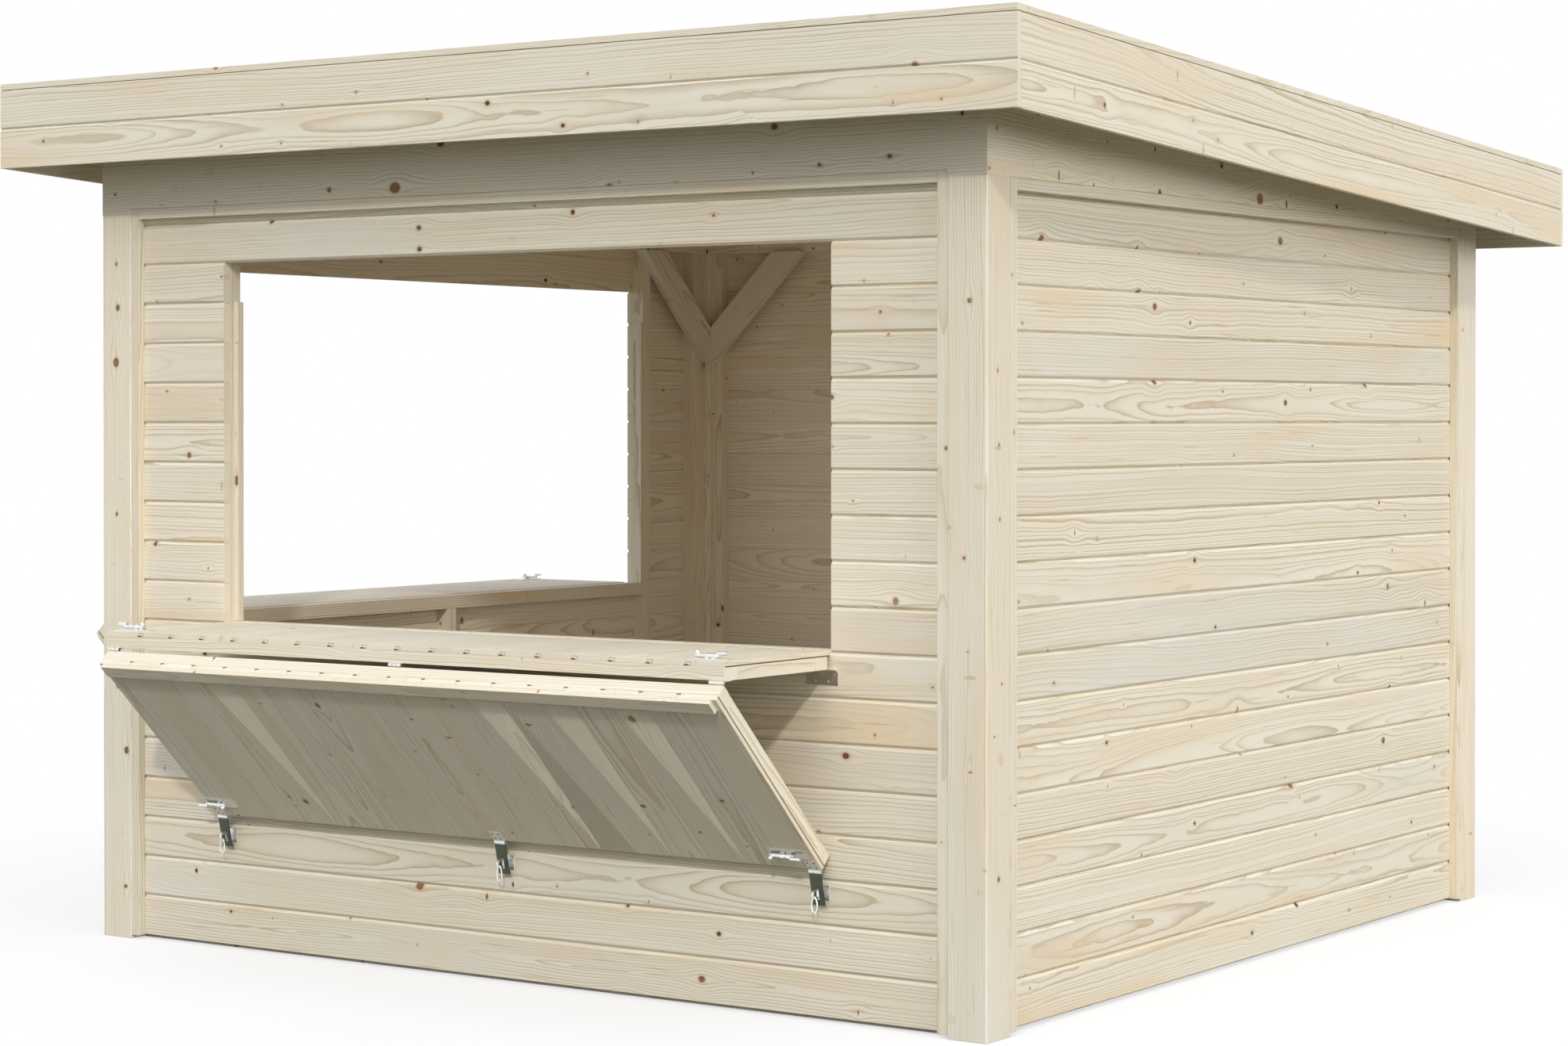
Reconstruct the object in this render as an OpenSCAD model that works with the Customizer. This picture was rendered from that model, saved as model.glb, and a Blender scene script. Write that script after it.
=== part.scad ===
// Wooden garden pavilion: a boarded timber kiosk under a mono-pitch roof, with a serving
// hatch in two of its four sides. Each hatch is a fixed counter and a hinged prop flap.
// X runs along the front, Y into the room, Z up. The origin is under the middle of the whole.

/* [Overall] */
// Width over the corner posts
shed_w = 3180; // [2900:10:3900]
// Depth over the corner posts
shed_d = 3160; // [2900:10:3900]
// Reach of the roof beyond the posts, on every side
overhang = 217; // [100:5:280]
// Drop of the roof from its front edge to its back edge
roof_fall = 192; // [80:1:240]

/* [Posts and beams] */
// Side of the square corner posts
post_s = 120; // [100:1:150]
// Chamfer along the upright edges of a post
post_chamfer = 3; // [2:1:12]
// Thickness of the beams on the posts
beam_t = 120; // [105:1:145]
// Height of the back beam, on its outer face
beam_back_h = 89; // [70:1:140]
// Side of the studs and rails in the wall frames
stud_s = 45; // [35:1:55]
// Width of the studs beside the posts in the side walls
end_stud_w = 79; // [45:1:95]
// Distance between stud centres in a wall with no opening, at most
stud_pitch = 640; // [400:10:900]

/* [Wall boards] */
// Height of one board, from joint to joint
board_h = 120.8; // [90:0.1:145]
// Thickness of the boards
board_t = 28; // [18:1:34]
// Distance of the boards behind the face of the posts
board_set = 28; // [20:1:34]
// Height of the lowest board above the ground
board_z = 13; // [5:1:30]
// Chamfer under each board at a joint
joint_under = 7; // [3:1:10]
// Chamfer on top of each board at a joint
joint_top = 8; // [3:1:10]
// Depth of the joint groove
joint_d = 7; // [3:1:9]

/* [Cover strips] */
// Width of the upright strips beside the posts
strip_w = 32; // [20:1:45]
// Distance of the front and back strips behind the post's face
strip_set = 3; // [0:1:15]
// Space over the boards, up to the beams
wall_top = 34.6; // [20:0.1:60]
// Height of the level strips under the beams
strip_top = 31; // [22:1:45]
// Reach of the front and back strips up into a rebate in their beam
strip_rise = 16; // [6:1:20]

/* [Hatch openings] */
// Boards below an opening
boards_below = 8; // [6:1:10]
// Boards beside an opening
boards_beside = 9; // [7:1:9]
// Boards above an opening
boards_above = 1; // [1:1:3]
// Width of both openings
open_w = 2199; // [1700:1:2200]
// Front opening, distance from the left post's outer face
open_x_front = 484; // [400:1:520]
// Left opening, distance from the back post's outer face
open_x_left = 515; // [400:1:520]
// Reach of the stop laths into the opening
stop_w = 13; // [8:1:25]
// Thickness of the stop laths
stop_t = 24; // [15:1:30]
// Length of the stop laths
stop_len = 965; // [600:5:1000]

/* [Counter] */
// Depth of the counter, from the wall side to the front edge
counter_d = 477; // [400:1:520]
// Thickness of the boards of counter and flap
leaf_board = 15; // [12:1:20]
// Thickness of the frame of counter and flap
leaf_frame = 34; // [28:1:40]
// Width of the frame bars
leaf_bar = 58; // [45:1:80]
// Gap between the left side of counter and flap and the line of the opening
leaf_gap = 11; // [5:1:20]
// Gap between their right side and the line of the opening
leaf_gap_right = 1; // [0:1:20]
// Gap between the counter and the wall boards
wall_gap = 6; // [4:1:10]
// Height of the counter's top over the boards below it
counter_up = 5; // [0:1:12]
// Width of the boards in counter and flap, at most
leaf_board_w = 124; // [90:1:150]
// Distance of the counter's frame from the back of its boards
frame_short = 9; // [0:1:12]
// Cross bars inside each frame
cross_bars = 3; // [1:1:5]

/* [Prop flap] */
// Length of the flap from hinge edge to free edge
flap_len = 682; // [600:1:720]
// Gap between the flap's free corner and the wall boards
flap_clear = 5; // [5:1:12]
// Gap between the hinge pin's centre and each leaf's end
hinge_gap = 2.5; // [2:0.5:4]
// Width of the lath on the flap
lath_w = 41; // [30:1:60]
// Thickness of the lath on the flap
lath_t = 14; // [10:1:22]
// Distance of the lath's ends from the flap's sides
lath_inset = 15; // [5:1:40]

/* [Hinges and hasps] */
// Radius of the hinge knuckles
knuckle_r = 5; // [4:0.5:7]
// Length of one hinge over its knuckles
hinge_w = 44; // [36:1:60]
// Radius of the hinge pins
pin_r = 2.5; // [2:0.1:3]
// Radial clearance of the pins
pin_fit = 0.08; // [0.05:0.01:0.1]
// Thickness of plates and straps
plate_t = 2; // [1.5:0.1:3]
// Width of a hasp strap
hasp_w = 38; // [30:1:45]
// Length of a hasp strap
hasp_len = 95; // [85:1:110]
// Thickness of the wire of a staple
staple_t = 5; // [4:0.5:6]
// Width of the slot in a hasp strap
slot_w = 15; // [13:0.5:18]

/* [Barrel bolts] */
// Length of a bolt's plate
bolt_len = 115; // [95:1:140]
// Width of a bolt's plate
bolt_w = 35; // [28:1:45]
// Radius of a bolt's rod
rod_r = 5; // [4:0.5:6]
// Distance of the bolts from the edge of the leaf
bolt_edge = 60; // [45:1:90]
// Travel of the bolt that is shot
bolt_shot = 35; // [20:1:40]
// Distance of the bolt that is drawn back from the side of its leaf
bolt_in = 18; // [4:1:30]

/* [Roof] */
// Height of the fascia boards, two together
fascia_h = 240; // [200:1:280]
// Thickness of the fascia boards
fascia_t = 17; // [14:1:24]
// Height of the rafters
rafter_h = 95; // [80:1:120]
// Width of the rafters
rafter_w = 45; // [35:1:60]
// Number of rafters
rafter_n = 8; // [6:1:10]
// Thickness of the roof boards
deck_t = 18; // [15:1:24]
// Width of the roof boards, about
deck_board = 121; // [90:1:160]
// Height of the strip on the roof's edge
edge_h = 18; // [12:1:25]
// Gap between the fascia boards and that strip
edge_gap = 2; // [0.5:0.5:4]
// Width of the strip on the roof's edge
edge_w = 45; // [30:1:70]

/* [Corner braces] */
// Reach of a brace along the beam and down the post
brace_reach = 440; // [300:5:520]
// Width of a brace in its plane
brace_w = 95; // [60:1:110]
// Thickness of a brace
brace_t = 45; // [35:1:50]

/* [Hidden] */
$fn = 40;

// Hairline at the butt joints of pieces that share a node
hairline = 0.5;
big = 6000;

// Wall frame lines, measured in from the face of the posts
stud_y0 = board_set + board_t;
stud_y1 = stud_y0 + stud_s;
foot_z = stud_s + hairline;
open_z0 = board_z + boards_below * board_h;
open_z1 = open_z0 + boards_beside * board_h;

// The posts are as high as the stack of boards and the space over it
post_h = board_z + (boards_below + boards_beside + boards_above) * board_h + wall_top;

// Roof lines: deck_z is the height of the roof boards' top at a distance from the front
roof_l = shed_d + 2 * overhang;
roof_slope = roof_fall / roof_l;
deck_z0 = post_h + beam_back_h + rafter_h + deck_t + roof_slope * (shed_d + overhang);
function deck_z(y) = deck_z0 - roof_slope * (y + overhang);

// Counter and flap lines, in the hatch's own frame: x along the wall, y into the room
leaf_t = leaf_board + leaf_frame;
leaf_w = open_w - leaf_gap - leaf_gap_right;
counter_z1 = open_z0 + counter_up;
counter_z0 = counter_z1 - leaf_t;
counter_y1 = board_set - wall_gap;
counter_y0 = counter_y1 - counter_d;
pin_y = counter_y0 - hinge_gap;
pin_z = counter_z0 - knuckle_r;
flap_end = hinge_gap + flap_len;

// The flap leans back until its free corner is flap_clear from the boards
flap_angle = acos((board_set - flap_clear - pin_y) / norm([flap_end, knuckle_r]))
    - atan(knuckle_r / flap_end);

// How far the flap's lath comes out at the hinge edge, which sets the outline of the whole
lath_drop = knuckle_r + leaf_t + lath_t;
reach = -(pin_y + hinge_gap * cos(flap_angle) - lath_drop * sin(flap_angle));
centre_x = (shed_w + overhang - reach) / 2;
centre_y = (shed_d + overhang - reach) / 2;

// ---- Places ----

module site() translate([-centre_x, -centre_y, 0]) children();

// Each side's own frame: x along the wall from its left post, y into the room
module front_side() children();
module left_side() translate([0, shed_d, 0]) rotate(-90) children();
module right_side() translate([shed_w, 0, 0]) rotate(90) children();
module back_side() translate([shed_w, shed_d, 0]) rotate(180) children();

// Extrudes an outline, drawn in Y and Z, along X from x0 to x1
module run_x(x0, x1) translate([x0, 0, 0]) rotate([90, 0, 90]) linear_extrude(x1 - x0) children();

// A bar between two corners
module bar(low, high) translate(low) cube(high - low);

// ---- Posts and beams ----

module post_outline() {
    c = post_chamfer;
    s = post_s;
    polygon([[c, 0], [s - c, 0], [s, c], [s, s - c], [s - c, s], [c, s], [0, s - c], [0, c]]);
}

module post(x, y) color("wheat") translate([x, y, 0]) linear_extrude(post_h) post_outline();

// The room under the roof's slope, drop below the top of the roof boards, and what lies
// between two such slopes
module below_slope(drop) run_x(-big, big) polygon([
    [-overhang, 0], [shed_d + overhang, 0],
    [shed_d + overhang, deck_z(shed_d + overhang) - drop], [-overhang, deck_z(-overhang) - drop]
]);

module on_slope(x0, x1, y0, y1, low, high) intersection() {
    run_x(x0, x1) polygon([
        [-overhang, deck_z(-overhang) - low], [shed_d + overhang, deck_z(shed_d + overhang) - low],
        [shed_d + overhang, deck_z(shed_d + overhang) - high], [-overhang, deck_z(-overhang) - high]
    ]);
    bar([x0, y0, 0], [x1, y1, big]);
}

// A beam over one side of length l, mitred at both ends, its top cut to the roof's slope
module beam_block(l) translate([0, 0, post_h]) linear_extrude(big)
    polygon([[0, 0], [l, 0], [l - beam_t, beam_t], [beam_t, beam_t]]);

// The same with a rebate along its lower outer edge, between the posts, for the cover strips
module rebated_beam(l) difference() {
    beam_block(l);
    bar([post_s, -1, post_h - 1], [l - post_s, board_set, post_h + strip_rise + hairline]);
}

module beam_cut() color("burlywood") intersection() {
    children();
    below_slope(deck_t + rafter_h);
}

// ---- Wall boards ----

// Outline of a stack of boards from z0 to z1, with a V groove at each joint between them, and
// half a groove where an end of the stack meets other boards
function joints(z0, z1) = [for (k = [1 : ceil((z1 - board_z) / board_h)])
    let (z = board_z + k * board_h) if (z > z0 + joint_top && z < z1 - joint_under) z];

function stack_foot(z) = z > board_z
    ? [[board_set + joint_d, z], [board_set, z + joint_under]]
    : [[board_set, z]];

function stack_head(z) = z < post_h
    ? [[board_set, z - joint_top], [board_set + joint_d, z]]
    : [[board_set, z]];

module board_stack(z0, z1) polygon(concat(
    [[stud_y0, z1], [stud_y0, z0]],
    stack_foot(z0),
    [for (z = joints(z0, z1)) each [
        [board_set, z - joint_top], [board_set + joint_d, z], [board_set, z + joint_under]]],
    stack_head(z1)
));

module boards(x0, x1, z0, z1) color("moccasin") run_x(x0, x1) board_stack(z0, z1);

module wall_lower(l) boards(post_s, l - post_s, board_z, open_z0);
module wall_head(l) boards(post_s, l - post_s, open_z1, post_h);
module wall_start(open_x) boards(post_s, open_x, open_z0, open_z1);
module wall_rest(l, open_x) boards(open_x + open_w, l - post_s, open_z0, open_z1);
module wall_whole(l) boards(post_s, l - post_s, board_z, post_h);

// ---- Wall frames ----

module stud(x, z0, z1) bar([x, stud_y0, z0], [x + stud_s, stud_y1, z1]);
module rail(x0, x1, z) bar([x0, stud_y0, z], [x1, stud_y1, z + stud_s]);

// The sole rail, and on it the studs beside the two posts, which are end_w wide
module frame_edge(l, end_w) {
    rail(post_s, l - post_s, 0);
    for (x = [post_s, l - post_s - end_w])
        bar([x, stud_y0, foot_z], [x + end_w, stud_y1, post_h]);
}

module whole_frame(l, end_w) color("tan") {
    inside = l - 2 * post_s - stud_s;
    bays = ceil(inside / stud_pitch);
    frame_edge(l, end_w);
    for (k = [1 : bays - 1]) stud(post_s + k * inside / bays, foot_z, post_h);
}

module open_frame(l, end_w, open_x) color("tan") {
    x0 = open_x;
    x1 = open_x + open_w;
    sill_z = counter_z1 - stud_s;
    frame_edge(l, end_w);
    for (x = [x0 - stud_s, x1]) stud(x, foot_z, post_h);
    stop_laths(x0, x1);
    rail(x0 + hairline, x1 - hairline, sill_z);
    stud((x0 + x1 - stud_s) / 2, foot_z, sill_z - hairline);
}

module stop_laths(x0, x1) for (x = [x0, x1 - stop_w])
    bar([x, stud_y1 - stop_t, counter_z1 + hairline], [x + stop_w, stud_y1, counter_z1 + stop_len]);

// ---- Cover strips ----

// The upright strips end a little lower than the boards
strip_low = 3;

module strips(l, set, rise) {
    y1 = board_set;
    z1 = post_h + rise;
    for (x = [post_s, l - post_s - strip_w])
        bar([x, set, board_z - strip_low], [x + strip_w, y1, z1]);
    x0 = post_s + strip_w + hairline;
    bar([x0, set, z1 - strip_top], [l - x0, y1, z1]);
}

module cover_strips() color("wheat") {
    front_side() strips(shed_w, strip_set, strip_rise);
    back_side() strips(shed_w, strip_set, strip_rise);
    left_side() strips(shed_d, 0, -hairline);
    right_side() strips(shed_d, 0, -hairline);
}

// ---- Corner braces ----

// A brace in the plane of one wall: from is where its foot meets the corner
module brace(from) {
    cut = brace_w * sqrt(2);
    z1 = post_h;
    z0 = z1 - brace_reach;
    x1 = post_s + brace_reach;
    slope_start = from - post_s;
    translate([0, stud_y1 + brace_t, 0]) rotate([90, 0, 0]) linear_extrude(brace_t) polygon([
        [from, z0 + slope_start], [x1, z1], [x1 - cut, z1], [from, z0 + cut + slope_start]
    ]);
}

module brace_pair(l, from) {
    brace(from);
    translate([l, 0, 0]) mirror([1, 0, 0]) brace(from);
}

module corner_braces() color("tan") {
    butt = stud_y1 + brace_t + hairline;
    front_side() brace_pair(shed_w, post_s);
    back_side() brace_pair(shed_w, post_s);
    left_side() brace_pair(shed_d, butt);
    right_side() brace_pair(shed_d, butt);
}

// ---- Roof ----

roof_y0 = -overhang + fascia_t;
roof_y1 = shed_d + overhang - fascia_t;
roof_x0 = -overhang + fascia_t;
roof_x1 = shed_w + overhang - fascia_t;

module rafters() color("tan") {
    step = (roof_x1 - roof_x0 - rafter_w) / (rafter_n - 1);
    for (k = [0 : rafter_n - 1]) {
        x = roof_x0 + k * step;
        on_slope(x, x + rafter_w, roof_y0, roof_y1, deck_t + rafter_h, deck_t);
    }
}

// A V groove along X, cut up from the point y, z
module groove_x(y, z, v) translate([0, y, z]) run_x(-big, big) polygon([[-v - 1, -1], [0, v], [v + 1, -1]]);

// Depth of the grooves between the roof boards, underneath
deck_v = 4;

module roof_deck() color("moccasin") {
    n = round((roof_y1 - roof_y0) / deck_board);
    pitch = (roof_y1 - roof_y0) / n;
    difference() {
        on_slope(roof_x0, roof_x1, roof_y0, roof_y1, deck_t, 0);
        for (k = [1 : n - 1]) {
            y = roof_y0 + k * pitch;
            groove_x(y, deck_z(y) - deck_t, deck_v);
        }
    }
}

// A fascia is two boards with a V groove between them
fascia_v = 5;

// Outline of a level fascia, its outer face at y = 0 and its bottom at z = 0
module fascia_outline() {
    m = fascia_h / 2;
    top = fascia_h + big;
    polygon([
        [0, 0], [0, m - fascia_v], [fascia_v, m], [0, m + fascia_v], [0, top], [fascia_t, top], [fascia_t, 0]
    ]);
}

module fascia_level(z) color("wheat") intersection() {
    translate([0, 0, z - fascia_h]) run_x(-overhang, shed_w + overhang) children();
    below_slope(edge_gap);
}

module fascia_front() fascia_level(deck_z(-overhang)) translate([-overhang, 0]) fascia_outline();

module fascia_back() fascia_level(deck_z(shed_d + overhang))
    translate([shed_d + overhang, 0]) mirror([1, 0]) fascia_outline();

// A side fascia in the left side's place, its outer face at x = -overhang
module fascia_sloped() color("wheat") difference() {
    on_slope(-overhang, -overhang + fascia_t, roof_y0, roof_y1, fascia_h, edge_gap);
    tilt = -atan(roof_slope);
    translate([-overhang, 0, deck_z(0) - fascia_h / 2]) rotate([90 + tilt, 0, 0])
        linear_extrude(2 * big, center = true)
            polygon([[-1, -fascia_v - 1], [fascia_v, 0], [-1, fascia_v + 1]]);
}

module roof_edge_strips() color("burlywood") {
    x0 = -overhang;
    x1 = shed_w + overhang;
    y0 = -overhang + edge_w;
    y1 = shed_d + overhang - edge_w;
    on_slope(x0, x1, -overhang, y0, 0, -edge_h);
    on_slope(x0, x1, y1, shed_d + overhang, 0, -edge_h);
    for (x = [x0, x1 - edge_w])
        on_slope(x, x + edge_w, y0 + hairline, y1 - hairline, 0, -edge_h);
}

// ---- Leaves of a hatch, drawn level: y from the pin, z = 0 at the underside ----

// Outline in X and Z of the boards of a leaf. Each joint has a small V groove on top, and
// underneath the slot that a tongue and its groove leave.
module leaf_outline() {
    n = ceil(leaf_w / leaf_board_w);
    pitch = leaf_w / n;
    v = 1.5;
    slot_half = 7.5;
    slot_h = 4;
    low = leaf_frame;
    high = leaf_t;
    polygon(concat(
        [[0, low], [0, high]],
        [for (k = [1 : n - 1]) let (x = k * pitch)
            each [[x - v, high], [x, high - v], [x + v, high]]],
        [[leaf_w, high], [leaf_w, low]],
        [for (k = [n - 1 : -1 : 1]) let (x = k * pitch)
            each [[x + slot_half, low], [x + slot_half, low + slot_h],
                [x - slot_half, low + slot_h], [x - slot_half, low]]]
    ));
}

module leaf_boards(d) color("moccasin")
    translate([0, d, 0]) rotate([90, 0, 0]) linear_extrude(d) leaf_outline();

module leaf_frame_bars(d) color("tan") {
    bar([0, 0, 0], [leaf_w, leaf_bar, leaf_frame]);
    bar([0, d - leaf_bar, 0], [leaf_w, d, leaf_frame]);
    n = cross_bars + 1;
    for (k = [0 : n]) {
        x = k * (leaf_w - leaf_bar) / n;
        bar([x, leaf_bar + hairline, 0], [x + leaf_bar, d - leaf_bar - hairline, leaf_frame]);
    }
}

// Places a leaf with its corner at the counter's wall side
module counter_place() translate([leaf_gap, counter_y0, counter_z0]) children();

// Places what is drawn with y along the flap from the pin and z up to the side of the counter
module flap_place() translate([leaf_gap, pin_y, pin_z]) rotate([-flap_angle, 0, 0]) children();

// Turns a level leaf over, so that its boards face down and out, and moves it off the pin
module flap_leaf() flap_place() translate([0, hinge_gap, -knuckle_r]) mirror([0, 0, 1]) children();

// ---- Hinges of a hatch ----

// Distance of the outer hinges from the sides of a leaf
hinge_edge = 1;

hinge_xs = [hinge_edge, (leaf_w - hinge_w) / 2, leaf_w - hinge_w - hinge_edge];
knuckle_w = hinge_w / 3;

// Length of a hinge's plates from the pin, the end play of its knuckles, and how far from the
// pin a plate is as wide as the hinge
hinge_plate = 34;
hinge_play = 0.3;
hinge_neck = knuckle_r + 3;

module knuckle(x0, x1) translate([x0, 0, 0]) rotate([0, 90, 0]) cylinder(r = knuckle_r, h = x1 - x0);

// The counter's half of a hinge, at the pin: two knuckles, the pin and a plate underneath
module hinge_fixed() {
    rotate([0, 90, 0]) cylinder(r = pin_r, h = hinge_w);
    for (x = [0, 2 * knuckle_w + hinge_play]) {
        x1 = x + knuckle_w - hinge_play;
        knuckle(x, x1);
        bar([x, 0, knuckle_r - plate_t], [x1, hinge_plate, knuckle_r]);
    }
    bar([0, hinge_neck, knuckle_r - plate_t], [hinge_w, hinge_plate, knuckle_r]);
}

// The flap's half, y along the flap: a bored knuckle and a plate on the frame
module hinge_moving() {
    x0 = knuckle_w + hinge_play;
    x1 = 2 * knuckle_w - hinge_play;
    difference() {
        union() {
            knuckle(x0, x1);
            bar([x0, 0, -knuckle_r], [x1, hinge_plate, -knuckle_r + plate_t]);
            bar([0, hinge_neck, -knuckle_r], [hinge_w, hinge_plate, -knuckle_r + plate_t]);
        }
        translate([-1, 0, 0]) rotate([0, 90, 0]) cylinder(r = pin_r + pin_fit, h = hinge_w + 2);
    }
}

// ---- Barrel bolt, its rod along +x and its plate ending at x = 0 ----

bolt_z = plate_t + rod_r + 1.5;
barrel_r = rod_r + 2;
barrel_len = 14;
barrel_gap = 6;
knob_stem_r = 4;
knob_stem = 9;
knob_r = 6;
// The rod's end is cranked: crank_len of it lies crank_up higher than the rest
crank_len = 28;
crank_up = 7;
crank_neck_r = rod_r - 0.6;
rod_back = 15;

// shot is how far the rod is pushed out: at 0 its end lies rod_back behind the plate's end
module barrel_bolt(shot) {
    x1 = shot - rod_back;
    x0 = shot - bolt_len;
    crank_x = x1 - crank_len;
    barrels_x = -rod_back - crank_len - rod_r - 2 * barrel_len - barrel_gap;
    bar([-bolt_len, -bolt_w / 2, 0], [0, bolt_w / 2, plate_t]);
    for (k = [0 : 1]) {
        x = barrels_x + k * (barrel_len + barrel_gap);
        translate([x, 0, bolt_z]) rotate([0, 90, 0]) cylinder(r = barrel_r, h = barrel_len);
        bar([x, -barrel_r, plate_t / 2], [x + barrel_len, barrel_r, bolt_z]);
    }
    translate([x0, 0, bolt_z]) rotate([0, 90, 0]) cylinder(r = rod_r, h = crank_x + rod_r - x0);
    translate([crank_x, 0, bolt_z]) cylinder(r = crank_neck_r, h = crank_up);
    translate([crank_x - rod_r, 0, bolt_z + crank_up]) rotate([0, 90, 0])
        cylinder(r = rod_r, h = x1 - crank_x + rod_r);
    translate([x0 + rod_r, 0, bolt_z]) cylinder(r = knob_stem_r, h = knob_stem);
    translate([x0 + rod_r, 0, bolt_z + knob_stem]) sphere(r = knob_r);
}

module bolt_pair() {
    mirror([1, 0, 0]) barrel_bolt(bolt_shot);
    translate([leaf_w - bolt_in, 0, 0]) barrel_bolt(0);
}

// ---- Wall bracket under an end of the counter, x from its outer end ----

bracket_w = 98;
bracket_h = 40;
bracket_strap = 30;
bracket_reach = 220;
bracket_out = 24;
bracket_lip = 10;
bracket_holes = 5;
hole_edge = 10;
hole_r = 3;
roll_r = 3.2;

module wall_bracket() {
    y = board_set - plate_t;
    z1 = counter_z0 - plate_t;
    strap_x = (bracket_w - bracket_strap) / 2;
    difference() {
        bar([0, y, z1 - bracket_h], [bracket_w, board_set, counter_z0]);
        for (k = [0 : bracket_holes - 1]) {
            x = hole_edge + k * (bracket_w - 2 * hole_edge) / (bracket_holes - 1);
            z = z1 - (k % 2 == 0 ? hole_edge : bracket_h - hole_edge);
            translate([x, y - 1, z]) rotate([-90, 0, 0]) cylinder(r = hole_r, h = plate_t + 2);
        }
    }
    bar([0, counter_y1 - bracket_lip, z1], [bracket_w, board_set, counter_z0]);
    bar([strap_x, counter_y1 - bracket_reach, z1],
        [strap_x + bracket_strap, board_set, counter_z0]);
    translate([0, counter_y1 + hairline, counter_z0 - roll_r - hairline]) rotate([0, 90, 0])
        cylinder(r = roll_r, h = bracket_w);
}

module bracket_pair() {
    translate([leaf_w + leaf_gap + bracket_out - bracket_w, 0, 0]) wall_bracket();
    translate([leaf_gap - bracket_out, 0, 0]) wall_bracket();
}

// ---- Hasps and staples ----

hasp_edge = 4;
hasp_xs = [hasp_edge, (leaf_w - hasp_w) / 2, leaf_w - hasp_w - hasp_edge];
hasp_knuckle_r = 4;
hasp_plate = 38;
hasp_hole_r = 2.2;
hasp_hole_edge = 9;
hasp_drop = hasp_knuckle_r - 1;
hasp_out = hasp_knuckle_r - 1;
hasp_lean = 13;
slot_from = 26;
slot_end = 11;
slot_len = hasp_len - slot_from - slot_end;
staple_h = 26;
staple_out = 12;
staple_plate = 40;
// Free length of the slot below the staple
staple_up = 8;

// Hasp at the flap's free end, drawn in the flap's frame: a plate on the outer face, its knuckle
// off the outer corner, and a slotted strap that hangs from it
module hasp() {
    z0 = -knuckle_r - leaf_t;
    h = hasp_hole_edge;
    difference() {
        bar([0, flap_end - hasp_plate, z0 - plate_t], [hasp_w, flap_end + hasp_out, z0]);
        for (x = [h, hasp_w - h], y = [flap_end - hasp_plate + h, flap_end - h])
            translate([x, y, z0 - plate_t - 1]) cylinder(r = hasp_hole_r, h = plate_t + 2);
    }
    translate([0, flap_end + hasp_out, z0 - hasp_drop]) {
        rotate([0, 90, 0]) cylinder(r = hasp_knuckle_r, h = hasp_w);
        rotate([flap_angle - 90 + hasp_lean, 0, 0]) strap();
    }
}

// Strap along +y from the knuckle's axis
module strap() difference() {
    bar([0, 0, -plate_t / 2], [hasp_w, hasp_len, plate_t / 2]);
    bar([(hasp_w - slot_w) / 2, slot_from, -plate_t], [(hasp_w + slot_w) / 2, slot_from + slot_len, plate_t]);
}

// The hasp's knuckle and the strap's direction, in the hatch's frame
hasp_deep = knuckle_r + leaf_t + hasp_drop;
hasp_y = pin_y + (flap_end + hasp_out) * cos(flap_angle) - hasp_deep * sin(flap_angle);
hasp_z = pin_z - (flap_end + hasp_out) * sin(flap_angle) - hasp_deep * cos(flap_angle);
staple_z = hasp_z - (slot_from + slot_len - staple_h / 2 - staple_up) * cos(hasp_lean);

module staple() {
    r = staple_h / 2;
    y = hasp_y - staple_out + r;
    x = (hasp_w - staple_t) / 2;
    s = staple_plate;
    bar([(hasp_w - s) / 2, board_set - plate_t, staple_z - s / 2],
        [(hasp_w + s) / 2, board_set, staple_z + s / 2]);
    run_x(x, x + staple_t) translate([y, staple_z]) difference() {
        union() {
            circle(r = r);
            translate([0, -r]) square([board_set - plate_t / 2 - y, staple_h]);
        }
        circle(r = r - staple_t);
        translate([0, -r + staple_t])
            square([board_set - plate_t - y, staple_h - 2 * staple_t]);
    }
}

// ---- The pieces of a hatch, x = 0 at the opening's left line ----

module counter_boards() counter_place() leaf_boards(counter_d);
module counter_frame() counter_place() leaf_frame_bars(counter_d - frame_short);
module flap_boards() flap_leaf() leaf_boards(flap_len);
module flap_frame() flap_leaf() leaf_frame_bars(flap_len);

module flap_lath() color("wheat") flap_leaf()
    bar([lath_inset, 0, leaf_t], [leaf_w - lath_inset, lath_w, leaf_t + lath_t]);

module counter_fittings() color("silver") {
    translate([leaf_gap, counter_y0 + bolt_edge, counter_z1]) bolt_pair();
    for (x = hinge_xs) translate([leaf_gap + x, pin_y, pin_z]) hinge_fixed();
    bracket_pair();
    for (x = hasp_xs) translate([leaf_gap + x, 0, 0]) staple();
}

module flap_fittings() color("silver") {
    for (x = hinge_xs) flap_place() translate([x, 0, 0]) hinge_moving();
    flap_leaf() translate([0, flap_len - bolt_edge, leaf_t]) bolt_pair();
    for (x = hasp_xs) flap_place() translate([x, 0, 0]) hasp();
}

module front_hatch() site() front_side() translate([open_x_front, 0, 0]) children();
module left_hatch() site() left_side() translate([open_x_left, 0, 0]) children();

// ---- Nodes ----

site() post(0, 0);  // post_front_left
site() post(shed_w - post_s, 0);  // post_front_right
site() post(0, shed_d - post_s);  // post_back_left
site() post(shed_w - post_s, shed_d - post_s);  // post_back_right

site() beam_cut() front_side() rebated_beam(shed_w);  // beam_front
site() beam_cut() back_side() rebated_beam(shed_w);  // beam_back
site() beam_cut() left_side() beam_block(shed_d);  // beam_left
site() beam_cut() right_side() beam_block(shed_d);  // beam_right

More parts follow.
